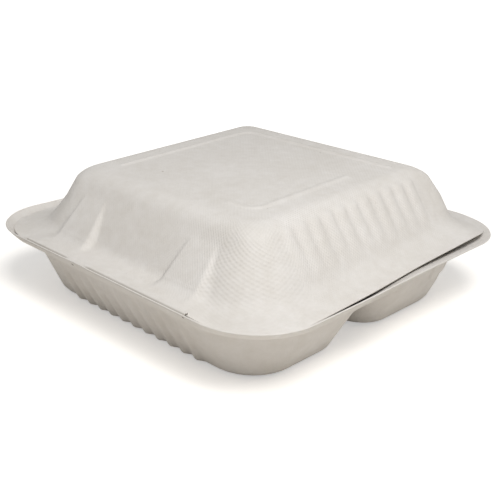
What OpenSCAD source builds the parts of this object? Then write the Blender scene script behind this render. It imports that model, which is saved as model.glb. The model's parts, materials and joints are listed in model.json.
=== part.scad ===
// Hinged clamshell meal box, moulded from sugar-cane fibre pulp.
// The origin is at the middle of the resting base. The fold is at the back (+Y), the box opens at the front (-Y).

/* [Wall] */
// Thickness of the moulded fibre wall
wall = 0.8; // [0.6:0.1:1.2]

/* [Tray] */
// Half width of the tray across the outside of its lip
lip_half = 114; // [105:1:124]
// Corner radius of the lip
lip_corner = 38; // [30:1:46]
// Height of the tray at its lip
tray_h = 41.2; // [38:0.2:46]
// Half width of the flat resting base
base_half = 82; // [76:1:86]
// Corner radius of the resting base
base_corner = 20; // [12:1:30]
// How much larger the radius of the two front corners is below the lip
front_softer = 6; // [0:1:8]
// Radius of the bottom edge of the tray
base_fillet = 8; // [4:0.5:11]
// Height at which the side walls turn out into the lip
flare_z = 29; // [28:0.5:31]
// Half width of the tray where the side walls turn out
flare_half = 102.4; // [101:0.1:104]
// Corner radius of the walls where they turn out into the lip
flare_corner = 48; // [42:1:50]
// Height at which the walls turn out at the front, where the lip lies flatter
front_flare_z = 37; // [34:0.2:37.2]

/* [Dividers] */
// Distance of the long divider behind the middle of the box
divider_y = 8; // [-10:1:20]
// Height of the tops of the dividers
divider_h = 28.8; // [25:0.2:28.8]
// Half width of a divider at its foot
divider_foot = 15; // [12:0.5:19]
// Half width of a divider at its crest
divider_crest = 2.2; // [1.4:0.2:3.4]

/* [Lid] */
// Height of the flat top of the closed lid
lid_top = 73; // [70:0.5:80]
// Half width of the flat top
top_half = 64.5; // [56:0.5:66]
// Corner radius of the flat top
top_corner = 10; // [5:0.5:16]
// Radius of the shoulder between the top and the walls
shoulder = 14; // [8:0.5:16]
// Slope of the lid's walls above level
lid_slope = 55; // [52:1:60]
// Height of the closed lid's edge
edge_z = 38; // [36.5:0.1:38.6]
// Gap from the lid's edge to the outside of the tray's lip
edge_gap = 4.6; // [3.8:0.1:6]
// Half length of the fold that joins the lid to the tray
fold_half = 66; // [50:1:68]
// How far the front edge of the lid dips below its sides
front_dip = 3; // [0:0.5:4]
// Angle at which the lid stands ajar
ajar = 2.3; // [1.6:0.1:6]

/* [Beads and pads] */
// Half size of the square along which the long bead runs on the lid's top
bead_half = 55; // [44:1:56]
// How much nearer to the middle the short bead runs
bead_inset = 2.5; // [0:0.5:8]
// Height of a bead above the top
bead_rise = 0.7; // [0.4:0.1:1.2]
// Distance of each pad on the lid's back wall from the middle
pad_x = 44.5; // [30:0.5:50]
// How far the foot of a pad stands out of the wall
pad_rise = 3.5; // [2:0.5:5]

/* [Ribs] */
// Number of ribs on the back wall of the tray
tray_ribs = 11; // [3:2:13]
// Spacing of the tray's ribs
tray_rib_pitch = 10; // [8:0.5:11]
// Number of ribs on each side wall of the lid
lid_ribs = 11; // [3:2:11]
// Spacing of the lid's ribs
lid_rib_pitch = 10.5; // [8:0.5:11]
// How far a rib stands out of its wall
rib_rise = 1.2; // [0.5:0.1:1.8]

/* [Hidden] */

// Points in each quarter of a ring, and the extra points along each of its straight sides
corner_steps = 8;
side_parts = [-0.94, -0.86, -0.78, -0.4, 0, 0.4, 0.78, 0.86, 0.94];

function step01(t) = let (c = min(max(t, 0), 1)) c * c * (3 - 2 * c);

// A ring with four corner radii, in the order back right, back left, front left, front right
function ring(x0, x1, y0, y1, radii, z) =
    let (centres = [[x1 - radii[0], y1 - radii[0]], [x0 + radii[1], y1 - radii[1]],
                    [x0 + radii[2], y0 + radii[2]], [x1 - radii[3], y0 + radii[3]]])
    [for (k = [0:3])
        let (next = (k + 1) % 4,
             a0 = 90 * k,
             a = centres[k] + radii[k] * [cos(a0 + 90), sin(a0 + 90)],
             b = centres[next] + radii[next] * [cos(a0 + 90), sin(a0 + 90)])
        each concat(
            [for (i = [0:corner_steps])
                let (w = a0 + 90 * i / corner_steps, p = centres[k] + radii[k] * [cos(w), sin(w)])
                [p[0], p[1], z]],
            [for (f = side_parts) let (p = (a + b) / 2 + (b - a) / 2 * f) [p[0], p[1], z]])];

// A square ring from a profile's row of half width, height, back and front corner radii
function square_ring(p) = ring(-p[0], p[0], -p[0], p[0], [p[2], p[2], p[3], p[3]], p[1]);

// A closed solid through a stack of rings, from the lowest ring to the highest
module loft(rings) {
    n = len(rings[0]);
    last = len(rings) - 1;
    polyhedron(
        points = [for (r = rings) each r],
        faces = concat(
            [[for (i = [0:n - 1]) i]],
            [[for (i = [n - 1:-1:0]) last * n + i]],
            [for (k = [0:last - 1], i = [0:n - 1]) let (j = (i + 1) % n)
                each [[k * n + i, (k + 1) * n + j, k * n + j], [k * n + i, (k + 1) * n + i, (k + 1) * n + j]]]));
}

// Moves each point of an open profile, of half width, height and corner radii, along its own normal
function shifted(profile, d) =
    [for (i = [0:len(profile) - 1])
        let (a = profile[max(i - 1, 0)],
             b = profile[min(i + 1, len(profile) - 1)],
             t = [b[0] - a[0], b[1] - a[1]],
             u = t / norm(t))
        concat([profile[i][0] - d * u[1], profile[i][1] + d * u[0]],
               [for (k = [2:len(profile[i]) - 1]) max(profile[i][k] - d * u[1], 1)])];

// Outside of the tray from its base to its lip: half width, height, back and front corner radii. The lip's rows
// are placed by their share of its width and of its height
wall_angle = 60;
wall_foot_half = base_half + base_fillet * sin(wall_angle);
wall_foot_z = base_fillet * (1 - cos(wall_angle));
lip_shares = [[0, 0], [0.34, 0.36], [0.68, 0.57], [0.9, 0.77], [1, 1]];
lip_point = [lip_half, tray_h, lip_corner, lip_corner];
flare_point = [flare_half, flare_z, flare_corner, flare_corner + front_softer];
tray_profile = concat(
    [for (a = [0:20:wall_angle])
        let (r = base_corner + base_fillet * sin(a))
        [base_half + base_fillet * sin(a), base_fillet * (1 - cos(a)), r, r + front_softer]],
    [for (s = lip_shares)
        let (p = flare_point + s[0] * (lip_point - flare_point),
             r = lip_point + pow(1 - s[0], 2) * (flare_point - lip_point))
        [p[0], flare_z + s[1] * (tray_h - flare_z), r[2], r[3]]]);

// From the middle to the front the lip turns down flat: each of its rows moves to a straight line from the top of a
// higher wall to the lip
flat_from = 50;
flat_over = 70;
front_flare_half = flare_half + 2.8;
function flattened(p, share) =
    let (w = step01((flat_from - p[1]) / flat_over),
         out = (1 - share[0]) * (front_flare_half - flare_half) / flare_half,
         up = front_flare_z + share[0] * (tray_h - front_flare_z) - flare_z - share[1] * (tray_h - flare_z))
    [p[0] * (1 + w * out), p[1] * (1 + w * out), p[2] + w * up];

// Half width, corner and height of the tray's profile at any height
function at_height(profile, z) =
    let (k = [for (i = [0:len(profile) - 2]) if (profile[i][1] <= z && z <= profile[i + 1][1]) i],
         i = len(k) > 0 ? k[0] : (z < profile[0][1] ? 0 : len(profile) - 2),
         a = profile[i],
         b = profile[i + 1],
         f = (z - a[1]) / (b[1] - a[1]))
    a + (b - a) * f;

// Half width of the gap between two compartments at a height of the outside
crest_round = 4;
crest_end = 0.2;
divider_slope_half = divider_foot - base_fillet * 0.75;
function gap_at(z) =
    let (foot = wall_foot_z, neck = divider_h - wall - crest_round)
    z < foot
        ? divider_foot - (divider_foot - divider_slope_half) * sin(90 * z / foot)
        : z < neck
            ? divider_slope_half + (divider_crest - divider_slope_half) * (z - foot) / (neck - foot)
            : divider_crest - (divider_crest - crest_end) * (1 - cos(90 * (z - neck) / crest_round));

// Heights of the rings of one compartment, and the radius of its corners at a divider
compartment_levels = concat(
    [for (a = [0:20:wall_angle]) base_fillet * (1 - cos(a))],
    [for (part = [1, 0.6, 0.25, 0]) divider_h - wall - part * crest_round]);
divider_corner = 18;
divider_corner_growth = 8;

// One compartment. The numbers in sides are 1 where it ends at a divider: left, right, front, back
module compartment(sides, d) {
    profile = shifted(tray_profile, d);
    loft([for (h = compartment_levels)
        let (z = h + d,
             p = at_height(profile, min(z, divider_h - 0.01)),
             g = gap_at(h) + d,
             x0 = sides[0] == 1 ? g : -p[0],
             x1 = sides[1] == 1 ? -g : p[0],
             y0 = sides[2] == 1 ? divider_y + g : -p[0],
             y1 = sides[3] == 1 ? divider_y - g : p[0],
             inside = divider_corner + divider_corner_growth * h / divider_h - d,
             r = [for (c = [[1, 3], [0, 3], [0, 2], [1, 2]])
                 sides[c[0]] == 1 || sides[c[1]] == 1 ? inside : p[c[1] == 3 ? 2 : 3]])
        ring(x0, x1, y0, y1, r, z)]);
}

// Upper part of the tray above the dividers
module tray_upper(d, top) {
    profile = shifted(tray_profile, d);
    first = len(profile) - len(lip_shares);
    low_z = divider_h - (d > 0 ? 0 : wall);
    low = at_height(profile, low_z);
    rim = profile[len(profile) - 1];
    loft(concat(
        [square_ring([low[0], low_z, low[2], low[3]])],
        [for (i = [0:len(lip_shares) - 2])
            [for (q = square_ring(profile[first + i])) flattened(q, lip_shares[i])]],
        [square_ring([rim[0], top, rim[2], rim[3]])]));
}

// Radius of a rib, as a share of the spacing
rib_round = 0.42;

// A point at a height on the tray's straight wall, moved out of the wall by a distance
function tray_wall_point(z, out) =
    let (a = atan2(flare_z - wall_foot_z, flare_half - wall_foot_half),
         s = wall_foot_half + (z - wall_foot_z) / tan(a))
    [s + out * sin(a), z - out * cos(a)];

// Ribs on the back wall of the tray, or the smaller hollows behind them when d is the wall
module tray_rib_set(d) {
    r = tray_rib_pitch * rib_round;
    low = tray_wall_point(wall_foot_z, rib_rise - r);
    high = tray_wall_point(flare_z - r, rib_rise - r);
    for (i = [0:tray_ribs - 1]) {
        x = (i - (tray_ribs - 1) / 2) * tray_rib_pitch;
        hull() {
            translate([x, low[0], low[1]]) sphere(r - d, $fn = 14);
            translate([x, high[0], high[1]]) sphere(r - d, $fn = 14);
        }
    }
}

module tray() {
    color("#b9b2a7")
    difference() {
        union() {
            compartment([0, 0, 1, 0], 0);
            compartment([0, 1, 0, 1], 0);
            compartment([1, 0, 0, 1], 0);
            tray_upper(0, tray_h);
            tray_rib_set(0);
        }
        compartment([0, 0, 1, 0], wall);
        compartment([0, 1, 0, 1], wall);
        compartment([1, 0, 0, 1], wall);
        tray_upper(wall, tray_h + 1);
        tray_rib_set(wall);
    }
}

// Upper skin of the closed lid from its edge to its flat top: half width, height, back and front corner radii
edge_half = lip_half - edge_gap;
edge_corner = lip_corner - edge_gap;
lid_foot_z = edge_z + 6.5;
shoulder_half = top_half + shoulder * sin(lid_slope);
shoulder_z = lid_top - shoulder * (1 - cos(lid_slope));
foot_half = shoulder_half + (shoulder_z - lid_foot_z) / tan(lid_slope);
foot_corner = edge_corner - 7;
front_tighter = 6;
lid_profile = concat(
    [[edge_half, edge_z, edge_corner, edge_corner],
     [edge_half * 0.72 + foot_half * 0.28, edge_z + 0.4, edge_corner, edge_corner],
     [edge_half * 0.45 + foot_half * 0.55, edge_z + 1.3, edge_corner - 2, edge_corner - 4],
     [edge_half * 0.2 + foot_half * 0.8, edge_z + 3.1, edge_corner - 4, edge_corner - 8],
     [foot_half, lid_foot_z, foot_corner, foot_corner - front_tighter]],
    [for (a = [lid_slope:-lid_slope / 5:-0.01])
        [top_half + shoulder * sin(a), lid_top - shoulder * (1 - cos(a)), top_corner + sin(a),
         top_corner - front_tighter * sin(a) * 0.8]]);

// The back edge of the lid climbs to the fold at the top of the tray's lip, and the front edge dips
fold_y = lip_half;
fold_z = tray_h;
fold_play = 0.3;
fold_blend = 12;
dip_start = foot_half - 16;
dip_end = edge_half - 8;
function climb(p) =
    let (w = step01((fold_half - abs(p[0])) / fold_blend + 0.5)
             * step01((p[1] - foot_half - 2) / (edge_half - foot_half - 2)),
         v = step01((-p[1] - dip_start) / (dip_end - dip_start)))
    [p[0], p[1] + w * (fold_y - wall - fold_play - edge_half), p[2] + w * (fold_z - edge_z) - v * front_dip];

function lid_ring(p, down) =
    [for (q = square_ring(p))
        (p[1] < lid_foot_z + 4 ? climb(q) : q) - [0, 0, down]];

// Filled form under the lid's upper skin, or under its lower skin when d is the wall. The second is wider and
// deeper below the edge, so that it cuts the first away there
block_depth = 10;
block_margin = 3;
module lid_form(d) {
    profile = shifted(lid_profile, d);
    over = d > 0 ? block_margin : 0;
    loft(concat(
        [square_ring([edge_half + over, edge_z - block_depth - over, edge_corner, edge_corner])],
        d > 0 ? [lid_ring([edge_half + over, edge_z, edge_corner, edge_corner], d)] : [],
        [for (p = profile) lid_ring(p, 0)]));
}

// A point at a height on the lid's straight wall, moved out of the wall by a distance
function wall_point(z, out) =
    let (s = shoulder_half + (shoulder_z - z) / tan(lid_slope))
    [s + out * sin(lid_slope), z + out * cos(lid_slope)];

// Ribs on one side wall of the lid, fading towards the foot
module lid_rib_set(d) {
    r = lid_rib_pitch * rib_round;
    high = wall_point(shoulder_z, rib_rise - r);
    low = wall_point(lid_foot_z + 2, 0.1 - r);
    for (i = [0:lid_ribs - 1]) {
        y = (i - (lid_ribs - 1) / 2) * lid_rib_pitch;
        hull() {
            translate([high[0], y, high[1]]) sphere(r - d, $fn = 14);
            translate([low[0], y, low[1]]) sphere(r - d, $fn = 14);
        }
    }
}

// Pads on the back wall of the lid, thickest and widest at their foot
pad_round = 3;
pad_half_high = 8;
pad_half_low = 11;
pad_drop = 9;
module pad_set(d) {
    r = pad_round - d;
    high = wall_point(shoulder_z - pad_drop, 0.4 - pad_round);
    low = wall_point(lid_foot_z + 2.5, pad_rise - pad_round);
    for (side = [-1, 1])
        hull() {
            for (k = [-1, 1]) {
                translate([side * pad_x + k * pad_half_high, high[0], high[1]]) sphere(r, $fn = 16);
                translate([side * pad_x + k * pad_half_low, low[0], low[1]]) sphere(r, $fn = 16);
            }
        }
}

// Beads on the lid's flat top: each follows one side of a square, turns a corner and follows the next side
bead_turn = 9;
bead_round = 1.7;
bead_turn_step = 30;
far_arms = [106, 114];
near_arms = [76, 17];
module bead(points, d) {
    z = lid_top + bead_rise - bead_round;
    for (i = [1:len(points) - 1])
        hull() {
            translate([points[i - 1][0], points[i - 1][1], z]) sphere(bead_round - d, $fn = 14);
            translate([points[i][0], points[i][1], z]) sphere(bead_round - d, $fn = 14);
        }
}

// Path up to a left back corner at the origin and on to the right, with its two lengths
function bead_path(arms) =
    concat([[0, -arms[0]]],
           [for (a = [180:-bead_turn_step:90]) bead_turn * [1 + cos(a), sin(a) - 1]],
           [[arms[1], 0]]);

module bead_set(d) {
    near = (bead_half - bead_inset) * [-1, 1];
    far = bead_half * [1, -1];
    bead([for (p = bead_path(near_arms)) near + p], d);
    bead([for (p = bead_path(far_arms)) far - p], d);
}

module lid_details(d) {
    lid_rib_set(d);
    mirror([1, 0, 0]) lid_rib_set(d);
    pad_set(d);
    bead_set(d);
}

module lid() {
    color("#dedad2")
    translate([0, fold_y, fold_z]) rotate([-ajar, 0, 0]) translate([0, -fold_y, -fold_z])
    difference() {
        union() {
            lid_form(0);
            lid_details(0);
        }
        lid_form(wall);
        lid_details(wall);
    }
}

tray();
lid();
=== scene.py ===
"""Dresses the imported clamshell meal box: two moulded fibre shells, their fold, finish and stage."""

import json
import math

import bpy
import numpy as np
from bpy.props import FloatProperty, FloatVectorProperty, IntProperty, PointerProperty, StringProperty
from mathutils import Matrix, Vector


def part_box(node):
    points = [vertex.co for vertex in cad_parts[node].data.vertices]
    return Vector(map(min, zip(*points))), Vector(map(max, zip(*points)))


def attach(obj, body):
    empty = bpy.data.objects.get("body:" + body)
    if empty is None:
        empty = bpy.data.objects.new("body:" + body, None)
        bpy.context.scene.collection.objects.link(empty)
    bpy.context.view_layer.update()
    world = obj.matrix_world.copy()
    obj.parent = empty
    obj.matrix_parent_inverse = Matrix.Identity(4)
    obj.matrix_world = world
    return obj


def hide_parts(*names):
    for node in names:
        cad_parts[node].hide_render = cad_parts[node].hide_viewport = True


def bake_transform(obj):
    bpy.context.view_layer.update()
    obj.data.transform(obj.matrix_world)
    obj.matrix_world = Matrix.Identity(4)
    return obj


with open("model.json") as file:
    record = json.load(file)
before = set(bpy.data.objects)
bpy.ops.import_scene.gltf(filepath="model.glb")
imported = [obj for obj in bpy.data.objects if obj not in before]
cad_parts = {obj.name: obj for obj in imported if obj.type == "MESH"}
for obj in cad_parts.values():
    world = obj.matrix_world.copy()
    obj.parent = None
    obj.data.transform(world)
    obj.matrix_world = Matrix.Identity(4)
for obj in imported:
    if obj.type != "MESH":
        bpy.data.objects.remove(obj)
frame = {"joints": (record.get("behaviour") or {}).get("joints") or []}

bl_info = {
    "name": "Moulded Fibre Clamshell",
    "version": (1, 0, 0),
    "blender": (4, 5, 0),
    "location": "3D Viewport > Sidebar > Clamshell",
    "description": "Builds a moulded fibre clamshell meal box around its frame",
    "category": "Add Mesh",
}

MM = 0.001
# Radius on the shells' cut edges, and how much of the cloth's print shows away from its strongest place
EDGE_ROUND, PLAIN_PRINT = 0.22 * MM, 0.3
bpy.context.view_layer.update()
TRAY_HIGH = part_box("tray")[1]
FOLD = next(joint for joint in frame["joints"] if joint["name"] == "lid_fold")
FOLD_Y, FOLD_Z = FOLD["pos_m"][1], FOLD["pos_m"][2]


def length(name, default, description):
    """A length that a user may change, in metres."""
    return FloatProperty(
        name=name, description=description, default=default, min=0.0, precision=5,
        unit="LENGTH", subtype="DISTANCE",
    )


def angle(name, degrees, description):
    """An angle that a user may change."""
    return FloatProperty(name=name, description=description, default=math.radians(degrees), subtype="ANGLE")


def colour(name, default, description):
    """A colour that a user may change, as six digits of sRGB hex."""
    return StringProperty(name=name, description=description + ", as sRGB hex", default=default)


class ClamshellTray(bpy.types.PropertyGroup):
    """Sizes of the tray."""

    wall: length("Wall", 0.8 * MM, "Thickness of the moulded fibre")
    lip_half: length("Lip half width", TRAY_HIGH.x, "Half width across the outside of the lip")
    lip_height: length("Lip height", TRAY_HIGH.z, "Height of the lip above the base")
    lip_corner: length("Lip corner", 38 * MM, "Corner radius of the lip")
    base_half: length("Base half width", 82 * MM, "Half width of the flat base")
    base_corner: length("Base corner", 20 * MM, "Corner radius of the flat base")
    front_softer: length("Front softer", 6 * MM, "How much larger the front corners are below the lip")
    base_fillet: length("Base fillet", 8 * MM, "Radius between the base and the walls")
    flare_half: length("Flare half width", 102.4 * MM, "Half width where the walls turn out")
    flare_height: length("Flare height", 29 * MM, "Height where the walls turn out")
    flare_corner: length("Flare corner", 48 * MM, "Corner radius where the walls turn out")
    band_half: length("Band half width", 110.7 * MM, "Half width at the lower edge of the lip's band")
    band_height: length("Band height", 36.2 * MM, "Height of the lower edge of the lip's band")
    front_flare_half: length("Front flare half width", 104 * MM, "Half width where the front wall turns out")
    front_flare_height: length("Front flare height", 37.9 * MM, "Height where the front wall turns out")
    front_pull: length("Front pull", 2 * MM, "How far the front walls stand in below the lip")
    divider_place: length("Divider place", 8 * MM, "Distance of the long divider behind the middle")
    divider_height: length("Divider height", 28.8 * MM, "Height of the dividers' tops")
    divider_foot: length("Divider foot", 15 * MM, "Half width of a divider at its foot")
    divider_crest: length("Divider crest", 2.2 * MM, "Half width of a divider near its top")
    rib_pitch: length("Rib pitch", 10 * MM, "Spacing of the ribs on the back wall")
    rib_rise: length("Rib rise", 1.7 * MM, "How far a rib stands out of the back wall")
    ribs: IntProperty(name="Ribs", description="Number of ribs on the back wall", default=11, min=1)
    cells: IntProperty(name="Cells", description="Cells along each side of the mesh", default=184, min=20)


class ClamshellLid(bpy.types.PropertyGroup):
    """Sizes of the lid."""

    top_height: length("Top height", 73 * MM, "Height of the closed lid's flat top")
    top_half: length("Top half width", 64.5 * MM, "Half width of the flat top")
    top_corner: length("Top corner", 10 * MM, "Corner radius of the flat top")
    shoulder: length("Shoulder", 14 * MM, "Radius between the top and the walls")
    slope: angle("Slope", 55, "Slope of the walls above level")
    foot_rise: length("Foot rise", 6.5 * MM, "Height of the walls' foot above the edge")
    edge_height: length("Edge height", 38 * MM, "Height of the closed lid's edge")
    edge_half: length("Edge half width", TRAY_HIGH.x - 4.6 * MM, "Half width across the edge")
    edge_corner: length("Edge corner", 33.4 * MM, "Corner radius of the edge")
    front_tighter: length("Front tighter", 6 * MM, "How much smaller the front corners are below")
    front_dip: length("Front dip", 3 * MM, "How far the front edge dips")
    side_dip: length("Side dip", 1.4 * MM, "How far the middle of each side edge dips")
    fold_half: length("Fold half length", 66 * MM, "Half length of the fold")
    smooth_place: length("Smooth place", 19 * MM, "Where along the fold its bead is pressed flat")
    smooth_half: length("Smooth half length", 9 * MM, "Half length of the stretch without a bead")
    ajar: angle("Ajar", 2.3, "Angle at which the lid stands open")
    rib_pitch: length("Rib pitch", 10.5 * MM, "Spacing of the ribs on each side wall")
    rib_rise: length("Rib rise", 1.05 * MM, "How far a rib stands out of a side wall")
    ribs: IntProperty(name="Ribs", description="Number of ribs on each side wall", default=11, min=1)
    pad_place: length("Pad place", 44.5 * MM, "Distance of each pad on the back wall from the middle")
    pad_rise: length("Pad rise", 3.3 * MM, "How far the foot of a pad stands out of the back wall")
    bead_half: length("Bead half size", 55 * MM, "Half size of the square that the long bead follows")
    bead_inset: length("Bead inset", 2.5 * MM, "How much nearer to the middle the short bead runs")
    bead_rise: length("Bead rise", 0.7 * MM, "Height of a bead above the top")
    cells: IntProperty(name="Cells", description="Cells along each side of the mesh", default=140, min=20)


class ClamshellLook(bpy.types.PropertyGroup):
    """Colours and grain of the fibre."""

    fibre: colour("Fibre", "E3DFDA", "Colour of the pulp")
    shade: colour("Shade", "D9D4CD", "Colour of denser patches")
    fleck: colour("Fleck", "8F8371", "Colour of bark flecks")
    # The colour of the fold's creases: partly darker pressed fibre, partly painted shade in the grooves
    crushed_and_shaded: colour("Crushed and shaded", "8E867A", "Colour of the fibre crushed in a crease")
    cloth_pitch: length("Cloth pitch", 1.7 * MM, "Spacing of the forming cloth's threads")
    cloth_depth: length("Cloth depth", 0.085 * MM, "Depth of the forming cloth's print")


class ClamshellStage(bpy.types.PropertyGroup):
    """Camera and light."""

    camera_place: FloatVectorProperty(
        name="Camera place", description="Where the camera stands", default=(-0.324857, 0.346166, 0.211252),
        subtype="XYZ", unit="LENGTH",
    )
    camera_yaw: angle("Camera yaw", -46.881, "Direction that the camera faces, from +X")
    camera_pitch: angle("Camera pitch", 21.511, "How far the camera looks down")
    camera_roll: angle("Camera roll", 1.963, "How far the camera is turned about its own axis")
    lens: FloatProperty(name="Lens", description="Focal length", default=60.02, unit="CAMERA")
    floor: colour("Floor", "F4F0EA", "Colour of the floor, a little warm to warm the walls above it")


def srgb(text):
    """Linear RGBA of an sRGB hex colour."""
    parts = [int(text[i:i + 2], 16) / 255 for i in (0, 2, 4)]
    return [c / 12.92 if c <= 0.04045 else ((c + 0.055) / 1.055) ** 2.4 for c in parts] + [1.0]


def smooth(t):
    """A soft step from 0 to 1."""
    t = np.clip(t, 0, 1)
    return t * t * (3 - 2 * t)


# The mat of pulp

class Mat:
    """A sheet of pulp on its way into the mould: a square grid whose border is drawn out into rings.

    Of the points from the middle of a side to its corner, run_share lie along the ribs and straight_share
    along the straight part.
    """

    def __init__(self, name, cells, rings, run_share, straight_share):
        bpy.ops.object.select_all(action="DESELECT")
        bpy.ops.mesh.primitive_grid_add(x_subdivisions=cells, y_subdivisions=cells, size=2)
        self.piece = bpy.context.active_object
        self.piece.name = self.piece.data.name = name
        bpy.ops.object.mode_set(mode="EDIT")
        bpy.ops.mesh.select_mode(type="EDGE")
        bpy.ops.mesh.select_all(action="DESELECT")
        bpy.ops.mesh.select_non_manifold(extend=False)
        # Each ring is drawn one unit lower, so that a point's height tells its ring
        for _ in range(rings):
            bpy.ops.mesh.extrude_edges_move(TRANSFORM_OT_translate={"value": (0, 0, -1)})
        bpy.ops.object.mode_set(mode="OBJECT")
        laid = self.points()
        self.u, self.v = laid[:, 0].copy(), laid[:, 1].copy()
        self.ring = np.rint(-laid[:, 2]).astype(int)
        self.run_share, self.straight_share = run_share, straight_share

    def points(self):
        """The mesh's points, one row each."""
        flat = np.empty(len(self.piece.data.vertices) * 3)
        self.piece.data.vertices.foreach_get("co", flat)
        return flat.reshape(-1, 3)

    def place(self, points):
        """Moves the mesh's points."""
        self.piece.data.vertices.foreach_set("co", np.asarray(points, np.float32).ravel())
        self.piece.data.update()

    def border(self, u, v, half, back, front, run):
        """Where a point of the mat's border lands on a square with rounded back and front corners."""
        on_x = np.abs(u) >= np.abs(v)
        sign = np.where(on_x, np.sign(u), np.sign(v))
        t = np.where(on_x, v * sign, -u * sign)
        corner = np.where(v > 0, back, front)
        straight = half - corner
        run = np.minimum(run, 0.985 * straight)
        size = np.abs(t)
        turn = np.clip((size - self.straight_share) / (1 - self.straight_share), 0, 1) * math.pi / 4
        rest = np.clip((size - self.run_share) / (self.straight_share - self.run_share), 0, 1)
        along = np.where(size <= self.run_share, size / self.run_share * run, run + rest * (straight - run))
        along = np.sign(t) * (along + corner * np.sin(turn))
        out = straight + corner * np.cos(turn)
        return np.where(on_x, sign * out, -sign * along), np.where(on_x, sign * along, sign * out)

    def inside(self, half, back, front, run):
        """Where the mat's inner points land, between the four sides of its border."""
        one = np.ones_like(self.u)
        right, up = (self.u + 1) / 2, (self.v + 1) / 2
        made = 0
        for u, v, share in (
            (self.u, -one, 1 - up), (self.u, one, up), (-one, self.v, 1 - right), (one, self.v, right),
            (-one, -one, -(1 - right) * (1 - up)), (one, -one, -right * (1 - up)),
            (-one, one, -(1 - right) * up), (one, one, -right * up),
        ):
            made = made + share * np.array(self.border(u, v, half, back, front, run))
        return made

    def rows(self, table):
        """Each border point's half width, height, back and front corner, from the row for its ring."""
        return np.array(table)[np.clip(self.ring, 0, len(table) - 1)].T

    def press(self, heights):
        """Pushes each point out along the surface."""
        normals = np.empty(len(self.piece.data.vertices) * 3)
        self.piece.data.vertex_normals.foreach_get("vector", normals)
        self.place(self.points() + heights[:, None] * normals.reshape(-1, 3))

    def lay_cloth(self, reference):
        """Gives the piece the forming cloth's map, in metres: across the flat, round and down the walls."""
        mesh = self.piece.data
        points = self.points()
        on_x = np.abs(self.u) >= np.abs(self.v)
        sign = np.where(on_x, np.sign(self.u), np.sign(self.v))
        t = np.where(on_x, self.v * sign, -self.u * sign)
        side = np.select([on_x & (sign > 0), ~on_x & (sign > 0), on_x], [0, 1, 2], 3)
        round_walls = (side + (t + 1) / 2) * 2 * reference
        ring_step = np.zeros(self.ring.max() + 1)
        on_middle = (self.u == 1) & (np.abs(self.v) < 0.02)
        middle = [np.flatnonzero((self.ring == k) & on_middle)[0] for k in range(len(ring_step))]
        ring_step[1:] = np.linalg.norm(np.diff(points[middle], axis=0), axis=1)
        down = np.cumsum(ring_step)[self.ring]
        corners = np.empty(len(mesh.loops), int)
        mesh.loops.foreach_get("vertex_index", corners)
        corners = corners.reshape(-1, 4)
        flat = (self.ring[corners].max(axis=1) == 0)[:, None]
        across = np.where(flat, points[corners, 0], round_walls[corners])
        wrapped = ~flat & (across < across.max(axis=1, keepdims=True) - 4 * reference)
        across = np.where(wrapped, across + 8 * reference, across)
        along = np.where(flat, points[corners, 1], down[corners])
        layer = mesh.uv_layers.get("cloth") or mesh.uv_layers.new(name="cloth")
        layer.data.foreach_set("uv", np.stack([across, along], axis=-1).astype(np.float32).ravel())

    def note(self, name, values):
        """Keeps one value for each point, for the finish to read."""
        layer = self.piece.data.attributes.new(name, "FLOAT", "POINT")
        layer.data.foreach_set("value", values.astype(np.float32))


def add_wall(piece, wall, edge_round):
    """Gives a skin its thickness on the inside and rounds its cut edge."""
    bpy.ops.object.select_all(action="DESELECT")
    bpy.context.view_layer.objects.active = piece
    piece.select_set(True)
    solid = piece.modifiers.new("wall", "SOLIDIFY")
    solid.thickness = wall
    solid.offset = -1
    solid.use_even_offset = True
    bpy.ops.object.modifier_apply(modifier=solid.name)
    rounded = piece.modifiers.new("edge", "BEVEL")
    rounded.width = edge_round
    rounded.segments = 2
    rounded.limit_method = "ANGLE"
    rounded.angle_limit = math.radians(60)
    bpy.ops.object.modifier_apply(modifier=rounded.name)
    bpy.ops.object.shade_smooth()


def bend_rows(start, middle, end, count):
    """Half widths and heights along a curve that leaves start and reaches end on lines through middle."""
    made = []
    for k in range(1, count + 1):
        t = k / count
        weights = ((1 - t) ** 2, 2 * t * (1 - t), t * t)
        made.append([sum(w * p for w, p in zip(weights, points)) for points in zip(start, middle, end)])
    return made


# Tray

def tray_wall(size, height):
    """Half width and back and front corner radii of the tray's walls at a height."""
    fillet, steep = size.base_fillet, math.radians(60)
    foot_z = fillet * (1 - math.cos(steep))
    low = np.sqrt(np.maximum(fillet ** 2 - (fillet - np.minimum(height, foot_z)) ** 2, 0))
    part = np.clip((height - foot_z) / (size.flare_height - foot_z), 0, 1)
    out = fillet * math.sin(steep)
    half = size.base_half + low + part * (size.flare_half - size.base_half - out)
    corner = size.base_corner + low + part * (size.flare_corner - size.base_corner - out)
    return half, corner, corner + size.front_softer


def divider_gap(size, height):
    """Half width of the hollow below a divider at a height."""
    foot_z = size.base_fillet / 2
    neck = size.divider_height - size.wall - 4 * MM
    low = size.divider_foot - size.base_fillet * 0.75
    part = np.clip((height - foot_z) / (neck - foot_z), 0, 1)
    slope = low + (size.divider_crest - low) * part
    rounding = np.sin(np.clip(height / foot_z, 0, 1) * math.pi / 2)
    foot = size.divider_foot - (size.divider_foot - low) * rounding
    turn = np.clip((height - neck) / (4 * MM), 0, 1) * math.pi / 2
    crest = size.divider_crest - (size.divider_crest - 0.2 * MM) * (1 - np.cos(turn))
    return np.where(height < foot_z, foot, np.where(height < neck, slope, crest))


def holds(x, y, sides, corners):
    """Whether each point lies in a rectangle with rounded corners.

    The sides are left, right, front and back. The corners start at the back right and go round by the left.
    """
    left, right, front, back = sides
    high, wide = y > (front + back) / 2, x > (left + right) / 2
    corner = np.where(high, np.where(wide, corners[0], corners[1]), np.where(wide, corners[3], corners[2]))
    past_x = x - np.clip(x, left + corner, right - corner)
    past_y = y - np.clip(y, front + corner, back - corner)
    return np.hypot(past_x, past_y) <= corner


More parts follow.
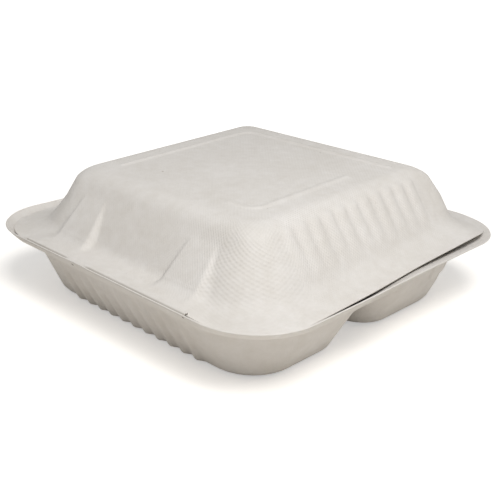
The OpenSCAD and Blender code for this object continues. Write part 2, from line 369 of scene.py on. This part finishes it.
def lowest(x, y, low, high, outline):
    """Lowest level between low and high at which the outline for that level holds each point."""
    bottom, top = np.full_like(x, low), np.full_like(x, high)
    for _ in range(24):
        middle = (bottom + top) / 2
        inside = holds(x, y, *outline(middle))
        top, bottom = np.where(inside, middle, top), np.where(inside, bottom, middle)
    return top


def tray_floor(size, x, y):
    """Height of the tray's outer skin below the flare: three bowls with hollow dividers between them."""
    crest = size.divider_height - size.wall
    place = size.divider_place

    def bowl(left, right, front, back):
        """Height of one compartment's skin, given which of its sides are dividers."""
        def outline(height):
            half, back_corner, front_corner = tray_wall(size, height)
            gap = divider_gap(size, height)
            inner = 18 * MM + 8 * MM * height / size.divider_height
            sides = (
                gap if left else -half, -gap if right else half,
                place + gap if front else -half, place - gap if back else half,
            )
            corners = [
                inner if right or back else back_corner, inner if left or back else back_corner,
                inner if left or front else front_corner, inner if right or front else front_corner,
            ]
            return sides, corners
        return lowest(x, y, 0, crest, outline)

    def whole(height):
        half, back_corner, front_corner = tray_wall(size, height)
        return (-half, half, -half, half), [back_corner, back_corner, front_corner, front_corner]

    # The row at the fold, then the two in front of it
    bowls = np.minimum(np.minimum(bowl(0, 0, 1, 0), bowl(0, 1, 0, 1)), bowl(1, 0, 0, 1))
    walls = lowest(x, y, crest, size.flare_height, whole)
    return np.where(bowls < crest - 1e-6, bowls, walls)


def tray_rows(size):
    """Rings of the tray's lip, from the top of the walls: half width, height, back and front corner."""
    flare = (size.flare_half, size.flare_height)
    band = (size.band_half, size.band_height)
    lip = (size.lip_half, size.lip_height - 0.55 * size.wall)
    turn = (size.flare_half + 2 * MM, size.flare_height + 3.7 * MM)
    rows = [list(flare)] + bend_rows(flare, turn, band, 8)
    middle = ((band[0] + lip[0]) / 2 - 0.1 * MM, (band[1] + lip[1]) / 2 - 0.3 * MM)
    rows += bend_rows(band, middle, lip, 5)
    for row in rows:
        rest = ((size.lip_half - row[0]) / (size.lip_half - size.flare_half)) ** 2
        for more in (0, size.front_softer):
            row.append(size.lip_corner + rest * (size.flare_corner + more - size.lip_corner))
    return rows


def flatten_front(size, x, y, z, half):
    """Moves the lip's points, from the middle of the sides to the front, to a flatter and higher lip."""
    share = np.clip((half - size.flare_half) / (size.lip_half - size.flare_half), 0, 1)
    start, fade, belly = 50 * MM, 70 * MM, 0.4 * MM
    part = smooth((start - y) / fade)
    out = 1 + part * (1 - share) * (size.front_flare_half - size.flare_half) / size.flare_half
    bend = belly * np.sin(math.pi * share)
    straight = size.front_flare_height + share * (size.lip_height - size.front_flare_height) + bend
    return x * out, y * out, z + part * (straight - z)


def pull_front(size, x, y, z):
    """Moves the walls in towards the middle at the front, most of all just below the lip."""
    start, fade, middle, spread_up = -10 * MM, 50 * MM, 27 * MM, 8 * MM
    share = smooth((start - y) / fade) * np.exp(-((z - middle) / spread_up) ** 2)
    kept = 1 - size.front_pull / size.flare_half * share
    return x * kept, y * kept


class CLAMSHELL_OT_tray(bpy.types.Operator):
    """Moulds the tray: three compartments, a ribbed back wall and an upturned lip"""

    bl_idname = "clamshell.tray"
    bl_label = "Mould Tray"

    def execute(self, context):
        size = context.scene.clamshell_tray
        table = tray_rows(size)
        run = size.ribs / 2 * size.rib_pitch
        mat = Mat("moulded_tray", size.cells, len(table) - 1, run_share=0.6, straight_share=0.7)
        half, height, back, front = mat.rows(table)
        x, y = mat.border(mat.u, mat.v, half, back, front, run)
        on_flat = np.maximum(np.abs(mat.u), np.abs(mat.v)) < 0.9999
        flat_x, flat_y = mat.inside(*[table[0][k] for k in (0, 2, 3)], run)
        x, y = np.where(on_flat, flat_x, x), np.where(on_flat, flat_y, y)
        z = np.where(on_flat, tray_floor(size, x, y), height)
        lip_x, lip_y, lip_z = flatten_front(size, x, y, z, half)
        x, y, z = np.where(on_flat, x, lip_x), np.where(on_flat, y, lip_y), np.where(on_flat, z, lip_z)
        x, y = pull_front(size, x, y, z)
        mat.place(np.stack([x, y, z], axis=1))
        bpy.ops.object.mode_set(mode="EDIT")
        bpy.ops.mesh.select_all(action="SELECT")
        bpy.ops.mesh.flip_normals()
        bpy.ops.object.mode_set(mode="OBJECT")
        mat.press(self.rib_heights(size, x, y, z))
        mat.lay_cloth(85 * MM)
        mat.note("print", np.full(len(x), PLAIN_PRINT))
        add_wall(mat.piece, size.wall, EDGE_ROUND)
        return finish_piece(mat.piece, "tray", "tray")

    def rib_heights(self, size, x, y, z):
        """How far the ribs stand out of the back wall at each point."""
        flatness, swing = 1.5, 0.56
        waves = 0.5 + swing * np.tanh(flatness * np.cos(2 * math.pi * x / size.rib_pitch))
        span = smooth((size.ribs / 2 * size.rib_pitch - np.abs(x)) / (2 * MM))
        on_wall = smooth((y - size.base_half) / (6 * MM)) * smooth((z - 0.5 * MM) / (3 * MM))
        return size.rib_rise * waves * span * on_wall * smooth((size.flare_height - z) / (5 * MM))


# Lid

SHOULDER_ROWS, WALL_ROWS, EDGE_ROWS = 11, 16, 15
# How far the lid's back edge stays from the fold's axis, under the strip
STRIP_REACH = 1.9 * MM


def lid_rows(size):
    """Rings of the closed lid from its flat top to its edge: half width, height, back and front corner."""
    rows = [[size.top_half, size.top_height]]
    for k in range(1, SHOULDER_ROWS + 1):
        a = size.slope * k / SHOULDER_ROWS
        out, down = size.shoulder * math.sin(a), size.shoulder * (1 - math.cos(a))
        rows.append([size.top_half + out, size.top_height - down])
    shoulder = rows[-1]
    foot_z = size.edge_height + size.foot_rise
    foot = [shoulder[0] + (shoulder[1] - foot_z) / math.tan(size.slope), foot_z]
    for k in range(1, WALL_ROWS + 1):
        rows.append([a + (b - a) * k / WALL_ROWS for a, b in zip(shoulder, foot)])
    turn = (foot[0] + 4 * MM, size.edge_height + 0.75 * MM)
    rows += bend_rows(foot, turn, (size.edge_half, size.edge_height), EDGE_ROWS)
    reach = size.edge_half - foot[0]
    middle = (shoulder[0] + foot[0]) / 2
    at = [size.top_half, shoulder[0], middle] + [foot[0] + share * reach for share in (0, 0.2, 0.45, 0.72)]
    tight, corner, top = size.front_tighter, size.edge_corner, size.top_corner
    back = [top, top + 3 * MM] + [corner - less * MM for less in (10, 5, 2.5, 1, 0)]
    front = [top, top - 0.85 * tight, corner - 15 * MM - tight, corner - 3 * MM - tight]
    front += [corner - less * MM for less in (6, 3, 0)]
    for row in rows:
        row += [float(np.interp(row[0], at, back)), float(np.interp(row[0], at, front))]
    return rows


def bead_distance(x, y, corner, first, second, turn):
    """Distance from a bead that follows one side, turns a corner and follows the next side."""
    path = [(corner[0], corner[1] + first)]
    inward = (math.copysign(turn, second), math.copysign(turn, first))
    for a in np.linspace(0, math.pi / 2, 7):
        path.append((corner[0] + inward[0] * (1 - math.cos(a)), corner[1] + inward[1] * (1 - math.sin(a))))
    path.append((corner[0] + second, corner[1]))
    best = np.full_like(x, 1.0)
    for (ax, ay), (bx, by) in zip(path, path[1:]):
        dx, dy = bx - ax, by - ay
        t = np.clip(((x - ax) * dx + (y - ay) * dy) / (dx * dx + dy * dy), 0, 1)
        best = np.minimum(best, np.hypot(x - ax - t * dx, y - ay - t * dy))
    return best


class CLAMSHELL_OT_lid(bpy.types.Operator):
    """Moulds the lid: a raised top with beads, ribbed side walls, two pads at the back and a flat edge"""

    bl_idname = "clamshell.lid"
    bl_label = "Mould Lid"

    def execute(self, context):
        size = context.scene.clamshell_lid
        table = lid_rows(size)
        run = size.ribs / 2 * size.rib_pitch
        mat = Mat("moulded_lid", size.cells, len(table) - 1, run_share=121 / 140, straight_share=124 / 140)
        half, height, back, front = mat.rows(table)
        x, y = mat.border(mat.u, mat.v, half, back, front, run)
        on_flat = np.maximum(np.abs(mat.u), np.abs(mat.v)) < 0.9999
        flat_x, flat_y = mat.inside(*[table[0][k] for k in (0, 2, 3)], run)
        x, y = np.where(on_flat, flat_x, x), np.where(on_flat, flat_y, y)
        foot = table[SHOULDER_ROWS + WALL_ROWS][0]
        flange = size.edge_half - foot
        low = smooth((54 * MM - height) / (8 * MM))
        # The back edge rises and runs out to the fold
        edge = smooth((size.fold_half - np.abs(x)) / (12 * MM) + 0.5)
        edge = edge * smooth((y - foot - 2 * MM) / (flange - 2 * MM))
        # The front edge hangs, and so does each side edge from 25 mm before its middle to the back
        dip = low * smooth((-y - foot + 16 * MM) / (flange + 8 * MM))
        y = y + edge * (FOLD_Y - STRIP_REACH - size.edge_half)
        sag = smooth((np.abs(x) - foot) / flange) * smooth((75 * MM - np.abs(y - 50 * MM)) / (55 * MM))
        sag = sag * (1 - edge) * low
        z = height + edge * (FOLD_Z - size.edge_height) - dip * size.front_dip - sag * size.side_dip
        mat.place(np.stack([x, y, z], axis=1))
        ribs, pads = self.rib_heights(size, x, y, z), self.pad_heights(size, x, y, z, foot)
        mat.press(ribs + pads + self.bead_heights(size, x, y, height))
        mat.lay_cloth(90 * MM)
        # The print is strongest at the shoulder of the corner between the fold and the -X side
        strongest, reach = (-75 * MM, 75 * MM, 62 * MM), 45 * MM
        near = np.hypot(np.hypot(x - strongest[0], y - strongest[1]), z - strongest[2])
        mat.note("print", PLAIN_PRINT + (1 - PLAIN_PRINT) * np.exp(-(near / reach) ** 2))
        turn = Matrix.Rotation(-size.ajar, 4, "X")
        fold = Matrix.Translation((0, FOLD_Y, FOLD_Z))
        add_wall(mat.piece, context.scene.clamshell_tray.wall, EDGE_ROUND)
        mat.piece.data.transform(fold @ turn @ fold.inverted())
        return finish_piece(mat.piece, "lid", "lid")

    def rib_heights(self, size, x, y, z):
        """How far the ribs stand out of the side walls at each point."""
        place = np.abs((y / size.rib_pitch + 0.5) % 1 - 0.5)
        finger = (1 - smooth((place - 0.1) / 0.4)) * (0.85 + 0.15 * np.cos(2 * math.pi * place))
        span = smooth((size.ribs / 2 * size.rib_pitch - np.abs(y)) / (1.5 * MM))
        rise = np.interp(z, [44.5 * MM, 52 * MM, 67 * MM], [0, 0.5, 1])
        rise = rise * smooth((70.6 * MM - z) / (3.4 * MM))
        on_side = np.abs(x) > size.top_half + 2 * MM
        return size.rib_rise * finger * span * rise * on_side

    def pad_heights(self, size, x, y, z, foot):
        """How far the pads stand out of the back wall at each point."""
        low, high, top = 44 * MM, 60 * MM, 62.5 * MM
        half = np.interp(z, [low, high], [16 * MM, 10.5 * MM])
        rise = size.pad_rise * np.interp(z, [low, high + MM], [1, 0.12])
        flank = np.maximum(1.3 * rise, 1.5 * MM)
        inside = np.clip((half - np.abs(np.abs(x) - size.pad_place)) / flank, 0, 1)
        inside = 0.6 * inside + 0.4 * smooth(inside)
        onto_edge = np.clip((foot + 12 * MM - y) / (9 * MM), 0, 1)
        on_back = y > size.top_half - 4.5 * MM
        return inside * rise * smooth((top - z) / (3 * MM)) * onto_edge * on_back

    def bead_heights(self, size, x, y, height):
        """How far the beads stand up from the top at each point."""
        near = size.bead_half - size.bead_inset
        turn = 9 * MM
        far = bead_distance(x, y, (size.bead_half, -size.bead_half), 106 * MM, -114 * MM, turn)
        short = bead_distance(x, y, (-near, near), -76 * MM, 17 * MM, turn)
        on_top = height > size.top_height - 1e-6
        raised = smooth(1.25 - far / (2 * MM)) + 0.8 * smooth(1.25 - short / (2.4 * MM))
        return size.bead_rise * on_top * raised


# Fold

# The strip's outer side from the tray to the lid, as y and z in mm from the fold's axis: first with a bead
# between two creases, then pressed flat
BEAD = [
    (-0.8, -1.15), (-0.1, -1.0), (0.42, -0.55), (0.45, -0.05), (0.05, 0.32), (-0.42, 0.2),
    (-0.75, -0.35), (-1.05, -0.5), (-1.38, -0.25), (-1.6, 0.3), (-2.1, 0.52), (-3.0, 0.36), (-4.2, -0.1),
]
PLAIN = [
    (-0.8, -1.15), (-0.3, -0.7), (0.02, -0.3), (0.08, 0.0), (-0.1, 0.2), (-0.45, 0.28),
    (-0.8, 0.3), (-1.1, 0.32), (-1.4, 0.35), (-1.7, 0.38), (-2.2, 0.42), (-3.0, 0.32), (-4.2, -0.1),
]
# How dark each row of the strip is painted: darker pressed fibre in its creases, together with painted shade
# in these grooves
CRUSHED_AND_SHADED = [0, 0.1, 0.45, 0.1, 0, 0.1, 0.6, 1, 0.6, 0.1, 0, 0, 0]
STRIP_WALL, STRIP_ROUND, STRIP_PRINT, STRIP_CUTS = 0.45 * MM, 0.1 * MM, 0.2, 79


class CLAMSHELL_OT_fold(bpy.types.Operator):
    """Makes the strip of fibre that joins the lid to the tray, with a bead between its two creases"""

    bl_idname = "clamshell.fold"
    bl_label = "Make Fold"

    def execute(self, context):
        size = context.scene.clamshell_lid
        bpy.ops.object.select_all(action="DESELECT")
        # One edge of a plane is kept and drawn up by one unit for each row, then laid along the outline
        bpy.ops.mesh.primitive_plane_add(size=1)
        strip = context.active_object
        strip.name = strip.data.name = "fold_strip"
        bpy.ops.object.mode_set(mode="EDIT")
        bpy.ops.mesh.delete(type="ONLY_FACE")
        bpy.ops.mesh.select_mode(type="VERT")
        bpy.ops.mesh.select_all(action="DESELECT")
        bpy.ops.object.mode_set(mode="OBJECT")
        mesh = strip.data
        for vertex in mesh.vertices:
            vertex.select = vertex.co.y > 0
        bpy.ops.object.mode_set(mode="EDIT")
        bpy.ops.mesh.delete(type="VERT")
        bpy.ops.mesh.select_all(action="SELECT")
        for _ in BEAD[1:]:
            bpy.ops.mesh.extrude_edges_move(TRANSFORM_OT_translate={"value": (0, 0, 1)})
        bpy.ops.object.mode_set(mode="OBJECT")
        for vertex in mesh.vertices:
            vertex.co.x = math.copysign(size.fold_half, vertex.co.x)
        bpy.ops.object.mode_set(mode="EDIT")
        bpy.ops.mesh.select_mode(type="EDGE")
        bpy.ops.mesh.select_all(action="DESELECT")
        bpy.ops.object.mode_set(mode="OBJECT")
        for edge in mesh.edges:
            a, b = (mesh.vertices[i].co for i in edge.vertices)
            edge.select = abs(a.x - b.x) > size.fold_half
        bpy.ops.object.mode_set(mode="EDIT")
        bpy.ops.mesh.subdivide(number_cuts=STRIP_CUTS)
        bpy.ops.object.mode_set(mode="OBJECT")
        # How dark each point of the strip is painted: pressed fibre and painted shade in the creases, only
        # where the bead stands
        crease = mesh.attributes.new("crease", "FLOAT", "POINT")
        for vertex in mesh.vertices:
            row = round(vertex.co.z)
            pressed = abs(vertex.co.x - size.smooth_place) / size.smooth_half
            uneven = 0.9 + 0.1 * math.sin(vertex.co.x / (7 * MM))
            share = float(smooth(np.array(pressed - 0.6) / 0.7)) * uneven
            y, z = (a + (b - a) * share for a, b in zip(PLAIN[row], BEAD[row]))
            vertex.co = (vertex.co.x, FOLD_Y + y * MM, FOLD_Z + z * MM)
            crease.data[vertex.index].value = share * CRUSHED_AND_SHADED[row]
        bpy.ops.object.mode_set(mode="EDIT")
        bpy.ops.mesh.select_all(action="SELECT")
        bpy.ops.mesh.normals_make_consistent(inside=False)
        bpy.ops.object.mode_set(mode="OBJECT")
        strip.modifiers.new("round", "SUBSURF").levels = 1
        strip.modifiers["round"].render_levels = 1
        bpy.ops.object.modifier_apply(modifier="round")
        cloth_print = mesh.attributes.new("print", "FLOAT", "POINT")
        cloth_print.data.foreach_set("value", np.full(len(mesh.vertices), STRIP_PRINT))
        mesh.uv_layers.new(name="cloth")
        add_wall(strip, STRIP_WALL, STRIP_ROUND)
        use_pulp(strip, context.scene.clamshell_look)
        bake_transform(strip)
        return {"FINISHED"}


# Finish

# Middle in mm, radius in mm and sRGB hex colour of each single spot: the two dark ones beside the fold are
# painted shade of small gaps, the pale one on the fold is painted light through a slit, the last is a speck
# on the lid's top
SPECKS_AND_PAINTED_SPOTS = [
    ((22.8, 112.4, 38.6), 1.0, "5E564B"),
    ((-65.6, 113.3, 39.8), 0.85, "5E564B"),
    ((-38.0, 114.4, 40.6), 0.8, "F6F3EE"),
    ((29.0, 44.0, 76.0), 0.8, "B5AC9E"),
]


def add(tree, kind, inputs=None, **settings):
    """Adds a node. An input takes a value, or a link given as a node and its output's name."""
    made = tree.nodes.new(kind)
    for key, value in settings.items():
        setattr(made, key, value)
    for key, value in (inputs or {}).items():
        if isinstance(value, tuple) and isinstance(value[0], bpy.types.Node):
            tree.links.new(value[0].outputs[value[1]], made.inputs[key])
        else:
            made.inputs[key].default_value = value
    return made


def calculate(tree, operation, first, second):
    """Adds a math node on two values or links."""
    return add(tree, "ShaderNodeMath", {0: first, 1: second}, operation=operation)


def spread(tree, value, low, high, to_low=0.0, to_high=1.0):
    """Adds a node that spreads a value from one range over another."""
    ranges = {"From Min": low, "From Max": high, "To Min": to_low, "To Max": to_high}
    return add(tree, "ShaderNodeMapRange", {"Value": value, **ranges})


def mix_colours(tree, share, first, second):
    """Adds a node that goes from the first colour to the second."""
    return add(tree, "ShaderNodeMix", {"Factor": share, 6: first, 7: second}, data_type="RGBA")


def bagasse_pulp(look):
    """Sugar-cane fibre pulp, hot-pressed: matte, off-white, cloudy, with flecks and a cloth's print."""
    material = bpy.data.materials.get("bagasse_moulded_pulp")
    if material:
        return material
    material = bpy.data.materials.new("bagasse_moulded_pulp")
    material.use_nodes = True
    tree = material.node_tree
    tree.nodes.clear()
    place = add(tree, "ShaderNodeTexCoord")
    cloth = add(tree, "ShaderNodeUVMap", uv_map="cloth")
    amount = add(tree, "ShaderNodeAttribute", attribute_name="print")

    # Clouds of denser fibre, 40 mm and 6 mm across
    wide = add(tree, "ShaderNodeTexNoise", {"Vector": (place, "Object"), "Scale": 1 / 0.040, "Detail": 3.0})
    small = add(
        tree, "ShaderNodeTexNoise",
        {"Vector": (place, "Object"), "Scale": 1 / 0.006, "Detail": 4.0, "Roughness": 0.6},
    )
    clouds = calculate(tree, "ADD", (wide, "Fac"), (small, "Fac"))
    density = spread(tree, (clouds, "Value"), 0.7, 1.3)
    body = mix_colours(tree, (density, "Result"), srgb(look.fibre), srgb(look.shade))

    # Rare flecks of bark, under a millimetre across
    dots = add(tree, "ShaderNodeTexVoronoi", {"Vector": (place, "Object"), "Scale": 1 / 0.011})
    is_dot = spread(tree, (dots, "Distance"), 0.06, 0.03)
    chance = add(tree, "ShaderNodeSeparateColor", {"Color": (dots, "Color")})
    chosen = calculate(tree, "GREATER_THAN", (chance, "Red"), 0.9)
    flecked = calculate(tree, "MULTIPLY", (is_dot, "Result"), (chosen, "Value"))
    faint = calculate(tree, "MULTIPLY", (flecked, "Value"), 0.55)
    coloured = mix_colours(tree, (faint, "Value"), (body, 2), srgb(look.fleck))

    # Spots at the places where the real box shows them: painted shade of small gaps beside the fold, painted
    # light through a slit on the fold, and a speck on the lid's top
    for (x, y, z), radius, hex_colour in SPECKS_AND_PAINTED_SPOTS:
        middle = (x * MM, y * MM, z * MM)
        off = add(tree, "ShaderNodeVectorMath", {0: (place, "Object"), 1: middle}, operation="DISTANCE")
        spot = spread(tree, (off, "Value"), radius * MM, 0.6 * radius * MM)
        coloured = mix_colours(tree, (spot, "Result"), (coloured, 2), srgb(hex_colour))

    # Darker pressed fibre in the fold's creases together with painted shade in them, which reads as a thin
    # grey-brown line
    crease = add(tree, "ShaderNodeAttribute", attribute_name="crease")
    coloured = mix_colours(tree, (crease, "Fac"), (coloured, 2), srgb(look.crushed_and_shaded))

    # Threads of the forming cloth, crossing at right angles on the slant
    threads = []
    for turn in (45, -45):
        slant = (0, 0, math.radians(turn))
        turned = add(tree, "ShaderNodeMapping", {"Vector": (cloth, "UV"), "Rotation": slant})
        scale = math.pi / 10 / look.cloth_pitch
        threads.append(add(tree, "ShaderNodeTexWave", {"Vector": (turned, "Vector"), "Scale": scale}))
    relief = calculate(tree, "ADD", (threads[0], "Fac"), (threads[1], "Fac"))
    printed = calculate(tree, "MULTIPLY", (relief, "Value"), (amount, "Fac"))
    print_bump = add(
        tree, "ShaderNodeBump", {"Height": (printed, "Value"), "Strength": 1.0, "Distance": look.cloth_depth}
    )

    # Fibres and grain, drawn a little coarser than they are so that they show
    grain = add(tree, "ShaderNodeTexNoise", {"Vector": (place, "Object"), "Scale": 1 / 0.0012, "Detail": 3.0})
    grain_bump = add(
        tree, "ShaderNodeBump",
        {"Height": (grain, "Fac"), "Strength": 0.5, "Distance": 0.06 * MM, "Normal": (print_bump, "Normal")},
    )
    swell = add(
        tree, "ShaderNodeBump",
        {"Height": (small, "Fac"), "Strength": 0.6, "Distance": 0.25 * MM, "Normal": (grain_bump, "Normal")},
    )

    shader = add(
        tree, "ShaderNodeBsdfPrincipled",
        {"Base Color": (coloured, 2), "Normal": (swell, "Normal"), "Roughness": 0.82, "IOR": 1.45,
         "Specular IOR Level": 0.35, "Sheen Weight": 0.08, "Sheen Roughness": 0.5},
    )
    add(tree, "ShaderNodeOutputMaterial", {"Surface": (shader, "BSDF")})
    return material


def use_pulp(piece, look):
    """Puts the pulp's finish on a piece."""
    piece.data.materials.clear()
    piece.data.materials.append(bagasse_pulp(look))


def finish_piece(piece, body, node):
    """Gives a shell its finish and its place in the frame."""
    use_pulp(piece, bpy.context.scene.clamshell_look)
    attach(piece, body)
    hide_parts(node)
    return {"FINISHED"}


# Stage

def soft_light(name, place, target, size, power):
    """A square soft light at a place, facing a target."""
    lamp = bpy.data.lights.new(name, "AREA")
    lamp.size = size
    lamp.energy = power
    holder = bpy.data.objects.new(name, lamp)
    bpy.context.scene.collection.objects.link(holder)
    holder.location = place
    holder.rotation_euler = (Vector(target) - Vector(place)).to_track_quat("-Z", "Y").to_euler()


def seen_white(tree, other):
    """Plain white where the camera, a reflection or clear matter sees it, and the other shader elsewhere."""
    path = add(tree, "ShaderNodeLightPath")
    seen = calculate(tree, "MAXIMUM", (path, "Is Camera Ray"), (path, "Is Glossy Ray"))
    seen = calculate(tree, "MAXIMUM", (seen, "Value"), (path, "Is Transmission Ray"))
    white = add(tree, "ShaderNodeBackground", {"Color": (1, 1, 1, 1), "Strength": 1.0})
    return add(tree, "ShaderNodeMixShader", {0: (seen, "Value"), 1: (other, 0), 2: (white, "Background")})


# Distances in metres between which the floor's own glow, seen by the camera alone, grows to full white
NEAR, FAR, NEAR_LIFT = 0.12, 0.5, 0.42
# Strength of the even light from all round, and the soft lamp's place, aim, size and watts
FILL = 0.265
KEY_PLACE, KEY_TARGET, KEY_SIZE, KEY_POWER = (-0.38, 0.24, 0.7), (0, 0, 0.04), 0.32, 4.6


class CLAMSHELL_OT_stage(bpy.types.Operator):
    """Sets the floor, the lights and the camera"""

    bl_idname = "clamshell.stage"
    bl_label = "Set Stage"

    def execute(self, context):
        stage = context.scene.clamshell_stage
        self.floor(stage)
        self.lights(context.scene)
        self.camera(context.scene, stage)
        context.scene.view_settings.view_transform = "Standard"
        return {"FINISHED"}

    def floor(self, stage):
        bpy.ops.object.select_all(action="DESELECT")
        bpy.ops.mesh.primitive_plane_add(size=8, location=(0, 0, -0.2 * MM))
        floor = bpy.context.active_object
        floor.name = "floor"
        bpy.ops.object.transform_apply(location=True, rotation=False, scale=False)
        material = bpy.data.materials.new("pale_floor")
        material.use_nodes = True
        tree = material.node_tree
        tree.nodes.clear()
        matte = add(tree, "ShaderNodeBsdfDiffuse", {"Color": srgb(stage.floor)})
        path = add(tree, "ShaderNodeLightPath")
        seen = calculate(tree, "MAXIMUM", (path, "Is Camera Ray"), (path, "Is Glossy Ray"))
        place = add(tree, "ShaderNodeTexCoord")
        away = add(tree, "ShaderNodeVectorMath", {0: (place, "Object")}, operation="LENGTH")
        lift = spread(tree, (away, "Value"), NEAR, FAR, NEAR_LIFT, 1.0)
        shown = calculate(tree, "MULTIPLY", (seen, "Value"), (lift, "Result"))
        glow = add(tree, "ShaderNodeEmission", {"Strength": (shown, "Value")})
        both = add(tree, "ShaderNodeAddShader", {0: (matte, "BSDF"), 1: (glow, "Emission")})
        add(tree, "ShaderNodeOutputMaterial", {"Surface": (both, "Shader")})
        floor.data.materials.append(material)

    def lights(self, scene):
        world = bpy.data.worlds.new("studio")
        scene.world = world
        world.use_nodes = True
        tree = world.node_tree
        tree.nodes.clear()
        fill = add(tree, "ShaderNodeBackground", {"Color": (1, 1, 1, 1), "Strength": FILL})
        add(tree, "ShaderNodeOutputWorld", {"Surface": (seen_white(tree, fill), "Shader")})
        soft_light("key", KEY_PLACE, KEY_TARGET, KEY_SIZE, KEY_POWER)

    def camera(self, scene, stage):
        yaw, pitch, roll = stage.camera_yaw, stage.camera_pitch, stage.camera_roll
        forward = Vector((math.cos(yaw) * math.cos(pitch), math.sin(yaw) * math.cos(pitch), -math.sin(pitch)))
        right = forward.cross(Vector((0, 0, 1))).normalized()
        up = right.cross(forward)
        turned_right = math.cos(roll) * right + math.sin(roll) * up
        turned_up = math.cos(roll) * up - math.sin(roll) * right
        camera = bpy.data.cameras.new("camera")
        camera.lens = stage.lens
        camera.sensor_width = 36
        camera.clip_start = 0.01
        holder = bpy.data.objects.new("camera", camera)
        scene.collection.objects.link(holder)
        turn = Matrix((turned_right, turned_up, -forward)).transposed().to_4x4()
        holder.matrix_world = Matrix.Translation(stage.camera_place) @ turn
        scene.camera = holder


# Panel and registration

class CLAMSHELL_PT_panel(bpy.types.Panel):
    """Lists the pieces of the clamshell box"""

    bl_label = "Clamshell"
    bl_idname = "CLAMSHELL_PT_panel"
    bl_space_type = "VIEW_3D"
    bl_region_type = "UI"
    bl_category = "Clamshell"

    def draw(self, context):
        for operator in OPERATORS:
            self.layout.operator(operator.bl_idname)


GROUPS = {
    "clamshell_tray": ClamshellTray,
    "clamshell_lid": ClamshellLid,
    "clamshell_look": ClamshellLook,
    "clamshell_stage": ClamshellStage,
}
OPERATORS = [CLAMSHELL_OT_tray, CLAMSHELL_OT_lid, CLAMSHELL_OT_fold, CLAMSHELL_OT_stage]


def register():
    for made in [*GROUPS.values(), *OPERATORS, CLAMSHELL_PT_panel]:
        bpy.utils.register_class(made)
    for name, group in GROUPS.items():
        setattr(bpy.types.Scene, name, PointerProperty(type=group))


def unregister():
    for name in GROUPS:
        delattr(bpy.types.Scene, name)
    for made in reversed([*GROUPS.values(), *OPERATORS, CLAMSHELL_PT_panel]):
        bpy.utils.unregister_class(made)


def main():
    register()
    bpy.ops.clamshell.tray()
    bpy.ops.clamshell.lid()
    bpy.ops.clamshell.fold()
    bpy.ops.clamshell.stage()


if __name__ == "__main__":
    main()
